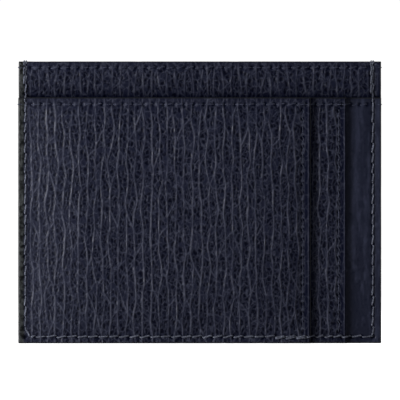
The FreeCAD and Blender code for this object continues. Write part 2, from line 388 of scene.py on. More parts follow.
leatherLook = {
    "ground": (0.0086, 0.0107, 0.0295), "vein": (0.130, 0.137, 0.190), "pit": (0.0010, 0.0018, 0.0100),
    "web": (0.054, 0.059, 0.092), "rubbed": (0.0440, 0.0480, 0.0500), "coating": (0.0035, 0.0045, 0.005),
    "dark": (0.0016, 0.0023, 0.0074), "shade": 0.8, "dyeSize": 130.0, "dye": (0.80, 0.82, 0.86),
    "groundRough": 0.4, "veinRough": 0.33, "pitRough": 0.42, "fineSize": 5200.0,
    "gleam": 0.26, "pitGleam": 0.13, "darkGleam": 0.02, "gleamFall": 2.6, "refraction": 1.45,
    "webScale": 720.0, "webShow": 0.8, "webLean": (1.0, 0.2, 0.62), "webDrift": 0.9, "driftSize": 700.0,
    "speckSize": 1100.0, "poreSize": 2600.0, "poreTint": (0.72, 0.72, 0.76), "poreShow": 0.8, "poreBump": 0.3,
}
smoothLook = dict(leatherLook, ground=(0.0115, 0.0143, 0.0325), vein=(0.0350, 0.0400, 0.0720), webShow=0.0,
                  groundRough=0.44, veinRough=0.4, poreBump=0.25)


def leather(name, look):
    material, tree, shader = newMaterial(name)
    tones = tree.nodes.new("ShaderNodeAttribute")
    tones.attribute_name = "tones"
    split = plug(tree, tree.nodes.new("ShaderNodeSeparateColor"), {0: tones.outputs["Color"]})
    vein, pit, shade = split.outputs
    place = objectPlace(tree)
    fine = noiseNode(tree, place, look["fineSize"])
    # A fine web of creases between the veins, in short broken lengths
    drift = noiseNode(tree, place, look["driftSize"], 2.0, output="Color")
    reach = (look["webDrift"] * mm, 0.0, look["webDrift"] * mm)
    moved = addNode(tree, "ShaderNodeVectorMath", {0: drift, 1: reach, 2: place}, operation="MULTIPLY_ADD")
    lean = addNode(tree, "ShaderNodeMapping", {"Vector": moved, "Scale": look["webLean"]})
    net = rampNode(tree, cellNode(tree, lean, "DISTANCE_TO_EDGE", look["webScale"]), (0.0, white), (0.12, black))
    broken = rampNode(tree, noiseNode(tree, place, look["speckSize"], 2.0), (0.4, black), (0.55, white))
    web = mixNode(tree, "MULTIPLY", 1.0, net, broken)
    # Colour, from the ground up. The pits are darker, partly as painted shade, and the web and veins lighter, partly
    # as a painted highlight of the sheen on their ridges.
    colour = mixNode(tree, "MIX", pit, look["ground"], look["pit"])
    if look["webShow"] > 0:
        show = mixNode(tree, "MULTIPLY", 1.0, web, (look["webShow"],) * 3)
        colour = mixNode(tree, "MIX", show, colour, look["web"])
    colour = mixNode(tree, "MIX", vein, colour, look["vein"])
    dye = rampNode(tree, noiseNode(tree, place, look["dyeSize"], 4.0), (0.3, look["dye"]), (0.7, white))
    colour = mixNode(tree, "MULTIPLY", 1.0, colour, dye)
    pores = cellNode(tree, place, "SMOOTH_F1", look["poreSize"])
    poreTint = rampNode(tree, pores, (0.0, look["poreTint"]), (0.35, white))
    colour = mixNode(tree, "MULTIPLY", look["poreShow"], colour, poreTint)
    speckle = rampNode(tree, noiseNode(tree, place, look["speckSize"]), (0.4, look["coating"]), (0.6, look["rubbed"]))
    colour = mixNode(tree, "MIX", tones.outputs["Alpha"], colour, speckle)
    # Painted shade, from the tones: in the needle holes, the hollows, beside the threads, under the mouths and above
    # the pocket. The gleam is dulled there too.
    colour = mixNode(tree, "MIX", timesNode(tree, shade, look["shade"]), colour, look["dark"])
    rough = mixNode(tree, "MIX", vein, (look["groundRough"],) * 3, (look["veinRough"],) * 3)
    rough = mixNode(tree, "MIX", pit, rough, (look["pitRough"],) * 3)
    rough = mixNode(tree, "OVERLAY", 0.25, rough, fine)
    gleam = mixNode(tree, "MIX", pit, (look["gleam"],) * 3, (look["pitGleam"],) * 3)
    dulled = timesNode(tree, shade, look["gleamFall"], clamp=True)
    gleam = mixNode(tree, "MIX", dulled, gleam, (look["darkGleam"],) * 3)
    bump = bumpNode(tree, web, 0.5 * look["webShow"], 0.06)
    bump = bumpNode(tree, pores, look["poreBump"], 0.03, bump)
    bump = bumpNode(tree, fine, look["poreBump"], 0.02, bump)
    plug(tree, shader, {"Base Color": colour, "Roughness": rough, "Specular IOR Level": gleam, "Normal": bump,
                        "IOR": look["refraction"]})
    return material


clothLook = {"warp": (0.010, 0.012, 0.020), "weft": (0.020, 0.022, 0.034), "threadGap": 0.24, "uneven": 0.6,
             "slubSize": 420.0, "slub": (0.7, 0.7, 0.74), "rough": 0.85, "sheen": 0.25}


def wovenCloth(name, look):
    material, tree, shader = newMaterial(name)
    place = objectPlace(tree)
    height = None
    scale = 0.3142 / (look["threadGap"] * mm)  # a wave repeats every 0.3142 / scale
    for turn, bands in (((1, 0, 0), "X"), ((0, 0, 1), "Z")):
        along = addNode(tree, "ShaderNodeMapping", {"Vector": place, "Scale": turn})
        wave = addNode(tree, "ShaderNodeTexWave", {"Vector": along, "Scale": scale, "Distortion": look["uneven"],
                                                   "Detail": 1.0}, bands_direction=bands)
        height = wave if height is None else mixNode(tree, "ADD", 0.5, height, wave)
    tint = rampNode(tree, height, (0.2, look["warp"]), (0.8, look["weft"]))
    slub = noiseNode(tree, place, look["slubSize"], 4.0, (1, 1, 0.2))
    slub = rampNode(tree, slub, (0.3, look["slub"]), (0.7, white))
    plug(tree, shader, {"Base Color": mixNode(tree, "MULTIPLY", 1.0, tint, slub), "Roughness": look["rough"],
                        "Normal": bumpNode(tree, height, 0.8, 0.04), "Sheen Weight": look["sheen"]})
    return material


suedeLook = {"low": (0.008, 0.009, 0.014), "high": (0.024, 0.026, 0.036), "napSize": 3000.0, "patchSize": 260.0,
             "patch": (0.75, 0.75, 0.78), "rough": 0.95, "sheen": 0.3, "sheenRough": 0.6}


def suede(name, look):
    material, tree, shader = newMaterial(name)
    place = objectPlace(tree)
    nap = noiseNode(tree, place, look["napSize"], 5.0, (1, 0.5, 1))
    tint = rampNode(tree, nap, (0.35, look["low"]), (0.7, look["high"]))
    patch = rampNode(tree, noiseNode(tree, place, look["patchSize"]), (0.3, look["patch"]), (0.7, white))
    plug(tree, shader, {"Base Color": mixNode(tree, "MULTIPLY", 1.0, tint, patch), "Roughness": look["rough"],
                        "Normal": bumpNode(tree, nap, 0.9, 0.08), "Sheen Weight": look["sheen"],
                        "Sheen Roughness": look["sheenRough"]})
    return material


paintLook = {"coat": (0.0048, 0.0058, 0.0092), "worn": (0.0135, 0.0155, 0.0195), "smooth": 0.45, "dull": 0.66,
             "rubSize": 900.0, "lumpSize": 380.0}
# A darker copy of the edge paint for the slot mouths and the pocket's top edge: painted shade, for edges that stand
# in shade
shadedMouthPaintLook = dict(paintLook, coat=(0.0010, 0.0018, 0.0062), worn=(0.0030, 0.0045, 0.0110), smooth=0.7, dull=0.85)


def brushedPaint(name, look):
    material, tree, shader = newMaterial(name)
    place = objectPlace(tree)
    rub = noiseNode(tree, place, look["rubSize"], 4.0)
    lump = noiseNode(tree, place, look["lumpSize"], 2.0)
    colour = rampNode(tree, rub, (0.45, look["coat"]), (0.72, look["worn"]))
    rough = rampNode(tree, rub, (0.35, (look["smooth"],) * 3), (0.7, (look["dull"],) * 3))
    bump = bumpNode(tree, rub, 0.4, 0.04, bumpNode(tree, lump, 0.5, 0.12))
    plug(tree, shader, {"Base Color": colour, "Roughness": rough, "Normal": bump})
    return material


seamThreadLook = {"valley": (0.022, 0.026, 0.042), "crown": (0.262, 0.282, 0.362), "rough": 0.6, "gleam": 0.1,
                  "hairSize": 4200.0, "dyeSize": 320.0, "dye": (0.6, 0.6, 0.62)}
hemThreadLook = dict(seamThreadLook, valley=(0.004, 0.005, 0.013), crown=(0.120, 0.132, 0.200), rough=0.7)


def fibre(name, look):
    material, tree, shader = newMaterial(name)
    place = objectPlace(tree)
    hair = noiseNode(tree, place, look["hairSize"], 4.0)
    tint = rampNode(tree, hair, (0.3, look["valley"]), (0.62, look["crown"]))
    dye = rampNode(tree, noiseNode(tree, place, look["dyeSize"], 2.0), (0.35, look["dye"]), (0.65, white))
    plug(tree, shader, {"Base Color": mixNode(tree, "MULTIPLY", 1.0, tint, dye), "Roughness": look["rough"],
                        "Normal": bumpNode(tree, hair, 0.6, 0.03), "Specular IOR Level": look["gleam"]})
    return material


grainedLeather = leather("grainedNavyLeather", leatherLook)
smoothLeather = leather("smoothNavyLeather", smoothLook)
lining = wovenCloth("wovenLining", clothLook)
stripSuede = suede("stripSuede", suedeLook)
edgePaint = brushedPaint("edgePaint", paintLook)
shadedMouthPaint = brushedPaint("shadedMouthPaint", shadedMouthPaintLook)
seamFibre = fibre("seamThread", seamThreadLook)
hemFibre = fibre("hemThread", hemThreadLook)
print("materials made")

# How the pockets lie: a soft swell in the middle, drawn in at the seams
frontLook = {"swell": 0.9, "leftReach": 8.0, "rightReach": 6.0, "endReach": 4.0, "fine": (0.182, 0.285)}


def swell(x, z, left, right, bottom, top, look):
    sides = 1 - np.exp(-((np.clip(x - left, 0, None) / look["leftReach"]) ** 1.7))
    sides = sides * (1 - np.exp(-np.clip(right - x, 0, None) / look["rightReach"]))
    ends = (1 - np.exp(-np.clip(z - bottom, 0, None) / look["endReach"]))
    ends = ends * (1 - np.exp(-np.clip(top - z, 0, None) / look["endReach"]))
    return look["swell"] * sides * ends


# The creased line just inside a slot mouth, and the hollow beside it. The line carries a painted highlight; the
# hollow and the mouth's rolled edge carry painted shade.
mouthLook = {
    "line": 0.42, "lineWidth": 0.13, "lineHeight": 0.02, "paintedLineHighlight": 0.24,
    "hollow": 1.0, "hollowWidth": 0.45, "hollowDepth": 0.04, "hollowShade": 0.34,
    "thinned": 0.35, "thinReach": 3.2, "fade": 0.7, "fadeReach": 1.3, "lip": (0.28, 0.14), "lipShade": 0.95,
}
secondMouthLook = dict(mouthLook, thinned=0.52, line=0.36)
# Painted shadow beside a mouth that lies over the panel: how far it reaches, how much it dulls and darkens
paintedShadowLook = {"reach": 1.1, "dull": 0.8, "shade": 0.32}


def mouthCrease(inward, look):
    line = np.exp(-(((inward - look["line"]) / look["lineWidth"]) ** 2))
    hollow = np.exp(-(((inward - look["hollow"]) / look["hollowWidth"]) ** 2))
    thinned = look["thinned"] * np.exp(-((inward / look["thinReach"]) ** 2))
    return look["lineHeight"] * line - look["hollowDepth"] * hollow - thinned, line, hollow

# The sewn margins: how much of the vein's colour stays there, how far the painted light on the left
# side reaches, where it is rubbed bare, the pucker between the stitches with its painted highlight, and the painted
# shadow beside them
marginLook = {
    "veinLeft": 0.35, "paintedLightReach": 11.0, "rub": (1.0, 1.7), "rubUneven": 0.25,
    "puckerRise": 0.06, "puckerBright": (0.8, 0.4), "beside": 0.75, "besideReach": 0.5, "besideDull": 0.5,
}


def inwards(axis, edge, way):
    return lambda x, z: way * ((x, z)[axis] - edge)


# Each margin: the edge it lies along, how much relief is left, and where that starts and ends
def pressed(x, z, margins):
    press = 1.0
    for distance, left, start, end in margins:
        press = press * (left + (1 - left) * ramp(distance(x, z), start, end))
    return press


def mouthShadowFalloff(x, edge):
    return np.exp(-(((x - edge) / paintedShadowLook["reach"]) ** 2))


def leatherShape(seed, look, margins, rows, mouthAt=None, pillow=None, shown=None, edges=(), paintedLight=0.0, rub=(),
                 under=None):
    def shape(x, z):
        height, bright, pit = grain(x, z, look, seed)
        press, colourLeft = pressed(x, z, margins), marginLook["veinLeft"]
        height, bright, pit = height * press, bright * (colourLeft + (1 - colourLeft) * press), pit * press
        # Painted light: the left side coloured lighter, as if lit from the left
        bright = bright + paintedLight * np.exp(-(((x - cutLeft) / marginLook["paintedLightReach"]) ** 2))
        shade = np.zeros_like(x)
        rubbed = np.zeros_like(x)
        for distance in rub:
            away = distance(x, z) + marginLook["rubUneven"] * waves(x, z, 0.7, 1.1, seed + 12)
            rubbed = np.maximum(rubbed, 1 - ramp(away, *marginLook["rub"]))
        if mouthAt is not None:
            mouth, creaseAndShade = mouthAt
            rise, line, hollow = mouthCrease(mouth - x, creaseAndShade)
            height = height + rise
            fade = creaseAndShade["fade"] * np.exp(-((mouth - x) / creaseAndShade["fadeReach"]) ** 2)
            # Painted highlight along the creased line; painted shade in the hollow and on the rolled edge at the
            # mouth
            bright = np.maximum(bright * (1 - fade), creaseAndShade["paintedLineHighlight"] * line)
            shade = np.maximum(shade, creaseAndShade["hollowShade"] * hollow * (1 - line))
            lip = [mouth - inside for inside in creaseAndShade["lip"]]
            shade = np.maximum(shade, creaseAndShade["lipShade"] * ramp(x, *lip))
        if under is not None:  # it lies in the shade of the panel over it
            # Painted shadow of the panel over it: its veins dulled and the leather darkened beside that mouth
            near = mouthShadowFalloff(x, under)
            bright = bright * (1 - paintedShadowLook["dull"] * near)
            shade = np.maximum(shade, paintedShadowLook["shade"] * near)
        if pillow is not None:
            height = height + swell(x, z, *pillow)
        for row in rows:
            pucker, beside = row[4:]
            rise, hole, between, across = sewnLine(x, z, row)
            height = height + rise + marginLook["puckerRise"] * pucker * between
            # Painted shade in the needle holes and beside the thread, and a painted highlight on the puckers between
            # the holes
            shade = np.maximum(shade, hole)
            away = (across - marginLook["beside"]) / marginLook["besideReach"]
            shade = np.maximum(shade, beside * np.exp(-(away**2)))
            even, uneven = marginLook["puckerBright"]
            puckerHighlight = pucker * between * (even + uneven * waves(x, z, 1.6, 1.6, seed + 14))
            bright = np.maximum(bright * (1 - marginLook["besideDull"] * beside), puckerHighlight)
        if shown is not None:
            fade = shown(x, z)
            height, bright, shade = height * fade, bright * fade, shade * fade
        for distance in edges:
            height = height + shoulder(distance(x, z))
        return height, (np.clip(bright, 0, 1), pit, shade, rubbed)

    return shape


cutLeft, cutBottom = nodeBox("base_leather")[0][[0, 2]]
cutRight, cutPocketTop = nodeBox("base_leather")[1][[0, 2]]
cutTop = nodeBox("back_leather")[1][2]
cutFrontMouth, cutSecondMouth = (nodeBox(panel + "_leather")[1][0] for panel in ("front", "second"))

edgeLeft, edgeRight = inwards(0, cutLeft, 1), inwards(0, cutRight, -1)
edgeBottom, edgeTop = inwards(1, cutBottom, 1), inwards(1, cutTop, -1)
edgePocket = inwards(1, cutPocketTop, -1)
edgeFront, edgeSecond = inwards(0, cutFrontMouth, -1), inwards(0, cutSecondMouth, -1)

# Each row: the way it runs, where, its holes, the groove's depth, how much the leather puckers between
# the holes (raised, with a painted highlight), and how dark the painted shadow beside the thread is
sideRow = ("z", leftSeam, sideHoles, 0.05, 0.0, 0.3)
tackRow = ("z", rightSeam - 0.42, sideHoles[-4:], 0.0, 0.0, 0.0)
rightRow = ("z", rightSeam, sideHoles, 0.13, 0.0, 0.0)
bottomRow = ("x", bottomSeam, bottomHoles, 0.12, 0.55, 0.0)
pocketRow = ("x", pocketHem, pocketHemHoles, 0.08, 1.0, 0.0)
topRow = ("x", topHem, topHemHoles, 0.08, 0.8, 0.0)
frontMouthRow = ("z", frontMouthHem, mouthHoles, 0.08, 1.0, 0.0)
secondMouthRow = ("z", secondMouthHem, mouthHoles, 0.08, 0.9, 0.0)
fine, tall = frontLook["fine"]
frontMargins = ((edgeLeft, 0.3, 1.2, 3.4), (edgeFront, 0.3, 0.9, 3.0), (edgeBottom, 0.8, 0.8, 3.0),
                (edgePocket, 0.4, 1.0, 3.0))
panel("frontPanel", "front_leather",
      gridLines(cutLeft, cutFrontMouth, fine), gridLines(cutBottom, cutPocketTop, tall), -1,
      leatherShape(11, grainLook, frontMargins, [sideRow, bottomRow, pocketRow, frontMouthRow],
                   mouthAt=(cutFrontMouth, mouthLook),
                   pillow=(leftSeam, frontMouthHem, bottomSeam, pocketHem, frontLook),
                   edges=(edgeLeft, edgeBottom, edgePocket, edgeFront), paintedLight=0.1, rub=(edgeLeft,)),
      grainedLeather, "grained_leather")

# Where a panel goes under the one over it, it stays plain
hidden = {"plain": 3.5, "full": 2.0, "wide": 4.0, "step": 0.25}


def pastMouth(mouth):
    return lambda x, z: ramp(x, mouth - hidden["plain"], mouth - hidden["full"])


secondMargins = ((edgeSecond, 0.3, 0.9, 3.0), (edgeBottom, 0.35, 0.8, 3.0), (edgePocket, 0.35, 1.0, 3.2))
panel("secondPanel", "second_leather",
      gridLines(cutLeft, cutSecondMouth, fine, (frontMouth - hidden["wide"], cutSecondMouth)),
      gridLines(cutBottom, cutPocketTop, hidden["step"]), -1,
      leatherShape(37, grainLook, secondMargins, [bottomRow, pocketRow, secondMouthRow],
                   mouthAt=(cutSecondMouth, secondMouthLook), shown=pastMouth(frontMouth),
                   edges=(edgeBottom, edgePocket, edgeSecond), under=frontMouth),
      grainedLeather, "grained_leather")

# The inmost front panel is smooth leather with faint upright streaks. bright: the plain tone, then
# how much the streaks, fine streaks, mottle and flecks add and the painted shadow of the second mouth takes off.
streakLook = {"height": 0.025, "gap": 0.85, "run": 12.0, "fineGap": 0.42, "margin": 0.4,
              "bright": (0.22, 0.42, 0.4, 0.6, 0.3, 0.3), "pit": 0.35}


def baseShape(x, z):
    streak = waves(x + 0.3 * waves(x, z, 4, 9, 71), z, streakLook["gap"], streakLook["run"], 72)
    fineStreak = waves(x + 0.3 * waves(x, z, 1.1, 2.0, 78), z, streakLook["fineGap"], 3.0, 73)
    height = streakLook["height"] * (streak + 0.4 * fineStreak) + 0.015 * waves(x, z, 0.9, 1.3, 74)
    mottle = waves(x, z, 0.8, 1.0, 76) * ramp(waves(x, z, 2.5, 5.0, 77), -0.3, 0.6)
    fleck = ramp(waves(x, z, 0.36, 0.8, 79), 0.2, 0.7)
    margin = streakLook["margin"] * ramp(x, rightSeam + 0.2, rightSeam + 0.9)
    plain, streaks, fines, mottles, flecks, shaded = streakLook["bright"]
    bright = plain + streaks * streak + fines * fineStreak + mottles * mottle + flecks * fleck + margin
    # Painted shadow of the second mouth
    bright = np.clip(bright - shaded * mouthShadowFalloff(x, secondMouth), 0, 1)
    pit = streakLook["pit"] * ramp(waves(x, z, 0.45, 0.6, 75), 0.35, 0.9)
    shade = np.zeros_like(x)
    # Painted shade in the needle holes
    for row in (rightRow, bottomRow, pocketRow):
        rise, hole, _, _ = sewnLine(x, z, row)
        height = height + rise
        shade = np.maximum(shade, hole)
    fade = pastMouth(secondMouth)(x, z)
    height = height * fade
    for distance in (edgeBottom, edgePocket, edgeRight):
        height = height + shoulder(distance(x, z))
    return height, (bright * fade, pit * fade, shade * fade, np.zeros_like(x))


panel("basePanel", "base_leather",
      gridLines(cutLeft, cutRight, fine, (secondMouth - hidden["wide"], cutRight)),
      gridLines(cutBottom, cutPocketTop, hidden["step"]), -1, baseShape, smoothLeather, "smooth_leather")

# The band leans back where it goes down into the pocket, and painted shade darkens it there, with a darker painted
# shadow line right above the pocket's edge
bandGrainLook = dict(grainLook, veinHeight=0.09, veinShow=0.78)
bandLook = {"shadeReach": 2.4, "shade": 0.33, "creaseShadeReach": 0.45, "creaseAndShade": 0.9, "dull": 0.5,
            "lean": 0.2, "leanReach": 2.2, "fall": 1.5}
bandMargins = ((edgeTop, 0.35, 0.8, 2.8), (edgeLeft, 0.35, 1.0, 3.0), (edgeRight, 0.3, 1.2, 3.4))
bandGrain = leatherShape(53, bandGrainLook, bandMargins, [sideRow, rightRow, tackRow, topRow],
                         shown=lambda x, z: ramp(z, pocketTop - 2.5, pocketTop - 1),
                         edges=(edgeLeft, edgeTop, edgeRight), paintedLight=0.03, rub=(edgeLeft,))


def bandShape(x, z):
    height, (bright, pit, shade, rubbed) = bandGrain(x, z)
    depth = np.clip(z - pocketTop, 0, None)
    # Painted shade above the pocket's edge, with a darker painted shadow line right at it, and the veins dulled there
    dark = np.exp(-((depth / bandLook["shadeReach"]) ** bandLook["fall"]))
    dark = dark + bandLook["creaseAndShade"] * np.exp(-((depth / bandLook["creaseShadeReach"]) ** 2))
    lean = np.exp(-((depth / bandLook["leanReach"]) ** bandLook["fall"]))
    shade = np.maximum(shade, bandLook["shade"] * dark)
    bright = bright * np.clip(1 - bandLook["dull"] * dark, 0, 1)
    return height - bandLook["lean"] * lean, (bright, pit, shade, rubbed)


panel("facingPanel", "facing_leather",
      gridLines(cutLeft, cutRight, fine), gridLines(cutBottom, cutTop, hidden["step"], (pocketTop - 3, cutTop)), -1,
      bandShape, grainedLeather, "grained_leather")

backLook = dict(frontLook, swell=0.25, fine=(0.26, 0.34))
backMargins = ((edgeLeft, 0.35, 1.2, 3.2), (edgeRight, 0.35, 1.2, 3.2), (edgeBottom, 0.35, 0.8, 3.0),
               (edgeTop, 0.35, 0.8, 3.0))
panel("backPanel", "back_leather",
      gridLines(cutLeft, cutRight, backLook["fine"][0]), gridLines(cutBottom, cutTop, backLook["fine"][1]), 1,
      leatherShape(83, grainLook, backMargins, [sideRow, rightRow, bottomRow, topRow],
                   pillow=(leftSeam, rightSeam, bottomSeam, topHem, backLook),
                   edges=(edgeLeft, edgeRight, edgeBottom, edgeTop)),
      grainedLeather, "grained_leather")
print("leather panels made")


# The linings are cloth glued to the back of the leather
def liningShape(x, z):
    return 0.012 * waves(x, z, 3.0, 3.0, 91), (np.zeros_like(x),) * 4


def liningPiece(name, node):
    lo, hi = nodeBox(node)
    piece = panel(name, node, spread(lo[0], hi[0], 1.0), spread(lo[2], hi[2], 1.0), 1, liningShape, lining,
                  "lining_cloth")
    return piece


liningPiece("frontLining", "front_lining")
liningPiece("secondLining", "second_lining")
liningPiece("baseLining", "base_lining")
print("linings made")


# A closed tube through rings of points
def tube(rings):
    points = np.concatenate(rings)
    size = len(rings[0])
    faces = []
    for i in range(len(rings) - 1):
        for j in range(size):
            a, b = i * size + j, i * size + (j + 1) % size
            faces.append((a, b, b + size, a + size))
    faces.append(tuple(range(size))[::-1])
    faces.append(tuple(len(points) - size + j for j in range(size)))
    return points, faces


def joinTubes(name, tubes, material, sharpAngle=1.1):
    points, faces, start = [], [], 0
    for tubePoints, tubeFaces in tubes:
        points.append(tubePoints)
        faces += [tuple(i + start for i in face) for face in tubeFaces]
        start += len(tubePoints)
    obj = linkMesh(name, np.concatenate(points), faces, material, sharpAngle=sharpAngle)
    bm = bmesh.new()
    bm.from_mesh(obj.data)
    bmesh.ops.recalc_face_normals(bm, faces=bm.faces)
    bm.to_mesh(obj.data)
    bm.free()
    return obj

# The strips between the layers: cut leather with a soft, slightly rough section
stripLook = {"corner": 0.16, "rough": 0.035, "step": 0.7}


def strip(name, node, seed):
    lo, hi = nodeBox(node)
    along, across = (0, 2) if hi[0] - lo[0] > hi[2] - lo[2] else (2, 0)
    corner = stripLook["corner"]
    section = []
    for cx, cy, start in ((1, 1, 0), (-1, 1, 90), (-1, -1, 180), (1, -1, 270)):
        for angle in (0, 22.5, 45, 67.5, 90):
            turn = math.radians(start + angle)
            section.append((cx, cy, math.cos(turn), math.sin(turn)))
    section = np.array(section)
    halfAcross, halfDepth = (hi[across] - lo[across]) / 2, (hi[1] - lo[1]) / 2
    rings = []
    for s in spread(lo[along], hi[along], stripLook["step"]):
        rough = stripLook["rough"] * waves(np.full(len(section), s), np.arange(len(section)) * 0.8, 0.9, 1.2, seed)
        out = corner - 0.01 + np.minimum(rough, 0)
        ring = np.zeros((len(section), 3))
        ring[:, along] = s
        ring[:, across] = (lo + hi)[across] / 2 + section[:, 0] * (halfAcross - corner) + section[:, 2] * out
        ring[:, 1] = (lo + hi)[1] / 2 + section[:, 1] * (halfDepth - corner) + section[:, 3] * out
        rings.append(ring)
    return finishPiece(joinTubes(name, [tube(rings)], stripSuede), node)


stripNodes = [f"{slot}_{side}_spacer" for slot in ("front_slot", "second_slot") for side in ("left", "bottom", "top")]
stripNodes += [f"center_{side}_spacer" for side in ("left", "right", "bottom")]
for number, node in enumerate(stripNodes):
    pocket, side = node.split("_")[0], node.split("_")[-2]
    strip(pocket + side.capitalize() + "Strip", node, 120 + number)
print("strips made")

# Edge paint: a rounded coat over the cut edges, with the layers just showing through it
beadLook = {"corner": 0.32, "overlap": 0.14, "layerGroove": 0.05, "layerWidth": 0.09, "layerClear": 0.15,
            "uneven": 0.03, "step": 0.5, "section": 0.11, "inside": 0.06}
layered = ("front_lining", "second_leather", "second_lining", "base_leather", "base_lining", "facing_leather",
           "back_leather")
layerFaces = [nodeBox(node)[0][1] for node in layered]
frontBack, secondBack, pocketBack = (nodeBox(node)[1][1] for node in ("front_lining", "second_lining", "base_lining"))
layerFaces += [frontBack, secondBack, pocketBack]


def bead(front, back, start, end, outward, inner, along, seed):
    coat = abs(outward - inner)
    way = 1 if outward > inner else -1
    first, last = front + beadLook["overlap"], back - beadLook["overlap"]
    ys = spread(first, last, beadLook["section"])
    corner = min(beadLook["corner"], (last - first) / 2)
    t = np.clip(1 - np.minimum(ys - first, last - ys) / corner, 0, 1)
    profile = coat * np.sqrt(np.clip(1 - t * t, 0, 1))
    for layer in layerFaces:
        if first + beadLook["layerClear"] < layer < last - beadLook["layerClear"]:
            profile = profile - beadLook["layerGroove"] * np.exp(-(((ys - layer) / beadLook["layerWidth"]) ** 2))
    side, run = (0, 2) if along == "z" else (2, 0)
    rings = []
    for s in spread(start, end, beadLook["step"]):
        where = np.full(len(ys), s)
        wobble = beadLook["uneven"] * (waves(where, ys, 1.6, 0.8, seed) + 0.6 * waves(where, ys, 5.0, 2.5, seed + 1))
        out = inner + way * np.clip(profile + np.minimum(wobble, 0), 0.0, coat)
        ring = np.zeros((len(ys) + 2, 3))
        ring[:, run] = s
        ring[1:-1, 1], ring[1:-1, side] = ys, out
        ring[0, 1], ring[0, side] = first, inner - way * beadLook["inside"]
        ring[-1, 1], ring[-1, side] = last, inner - way * beadLook["inside"]
        rings.append(ring)
    return tube(rings)


def paintPiece(name, node, material, along, outward, inner, seed, runs):
    beads = [bead(*run, outward, inner, along, seed + 2 * number) for number, run in enumerate(runs)]
    finishPiece(joinTubes(name, beads, material), node)


paintPiece("leftEdgePaint", "left_edge_paint", edgePaint, "z", leftEdge, cutLeft, 201, (
    (frontFace, backFace, cutBottom - 0.05, pocketTop - 0.1), (bandFace, backFace, pocketTop - 0.15, topEdge - 0.1)))
paintPiece("rightEdgePaint", "right_edge_paint", edgePaint, "z", rightEdge, cutRight, 205, (
    (baseFace, backFace, cutBottom - 0.05, pocketTop - 0.1), (bandFace, backFace, pocketTop - 0.15, topEdge - 0.1)))
paintPiece("bottomEdgePaint", "bottom_edge_paint", edgePaint, "x", bottomEdge, cutBottom, 209, (
    (frontFace, backFace, leftEdge + 0.1, frontMouth - 0.05),
    (secondFace, backFace, frontMouth - 0.1, secondMouth - 0.05),
    (baseFace, backFace, secondMouth - 0.1, rightEdge - 0.1)))
paintPiece("topEdgePaint", "top_edge_paint", edgePaint, "x", topEdge, cutTop, 215, (
    (bandFace, backFace, leftEdge + 0.1, rightEdge - 0.1),))
# The mouths and the pocket's top edge get the darker copy of the paint: painted shade
paintPiece("pocketEdgePaint", "pocket_edge_paint", shadedMouthPaint, "x", pocketTop, cutPocketTop, 217, (
    (frontFace, pocketBack, cutLeft, frontMouth - 0.05),
    (secondFace, pocketBack, frontMouth - 0.1, secondMouth - 0.05),
    (baseFace, pocketBack, secondMouth - 0.1, cutRight)))
paintPiece("secondMouthPaint", "second_mouth_edge_paint", shadedMouthPaint, "z", secondMouth, cutSecondMouth, 223, (
    (secondFace + secondMouthLook["thinned"], secondBack, cutBottom, cutPocketTop),))
paintPiece("frontMouthPaint", "front_mouth_edge_paint", shadedMouthPaint, "z", frontMouth, cutFrontMouth, 225, (
    (frontFace + mouthLook["thinned"], frontBack, cutBottom, cutPocketTop),))
print("edge paint made")


# Thread: plies twisted round a line
def smoothLine(points, step):
    points = np.asarray(points, float)
    padded = np.vstack([2 * points[0] - points[1], points, 2 * points[-1] - points[-2]])
    line = []
    for i in range(1, len(padded) - 2):
        p0, p1, p2, p3 = padded[i - 1 : i + 3]
        count = max(2, int(math.ceil(np.linalg.norm(p2 - p1) / step)))
        t = np.linspace(0, 1, count, endpoint=False)[:, None]
        line.append(0.5 * (2 * p1 + (p2 - p0) * t + (2 * p0 - 5 * p1 + 4 * p2 - p3) * t**2
                           + (3 * p1 - p0 - 3 * p2 + p3) * t**3))
    return np.vstack(line + [points[-1:]])


def twistedThread(points, look, turn=0.0):
    line = smoothLine(points, look["step"])
    tangent = np.gradient(line, axis=0)
    tangent /= np.linalg.norm(tangent, axis=1)[:, None]
    side = np.cross(tangent, (0.0, 1.0, 0.0))
    weak = np.linalg.norm(side, axis=1) < 0.2
    side[weak] = np.cross(tangent[weak], (1.0, 0.3, 0.2))
    side /= np.linalg.norm(side, axis=1)[:, None]
    for i in range(1, len(side)):
        if np.dot(side[i], side[i - 1]) < 0:
            side[i] *= -1
    up = np.cross(side, tangent)
    length = np.concatenate([[0], np.cumsum(np.linalg.norm(np.diff(line, axis=0), axis=1))])
    ply = look["size"] / 2 * (0.54 if look["plies"] == 3 else 0.52)
    offset = look["size"] / 2 - ply
    angles = np.linspace(0, 2 * math.pi, look["sides"], endpoint=False)
    tubes = []
    for k in range(look["plies"]):
        phase = turn + 2 * math.pi * (length / look["twist"] + k / look["plies"])
        centre = line + offset * (np.cos(phase)[:, None] * side + np.sin(phase)[:, None] * up)
        rings = [c + ply * (np.cos(angles)[:, None] * s + np.sin(angles)[:, None] * u)
                 for c, s, u in zip(centre, side, up)]
        tubes.append(tube(rings))
    return tubes


seamThread = {"size": 0.46, "plies": 3, "sides": 6, "twist": 1.15, "step": 0.2, "slant": 0.11, "proud": 0.1,
              "sink": 0.62, "gap": 0.34}
hemThread = {"size": 0.29, "plies": 3, "sides": 5, "twist": 0.8, "step": 0.22, "slant": 0.13, "proud": 0.0,
             "sink": 0.6, "gap": 0.36}


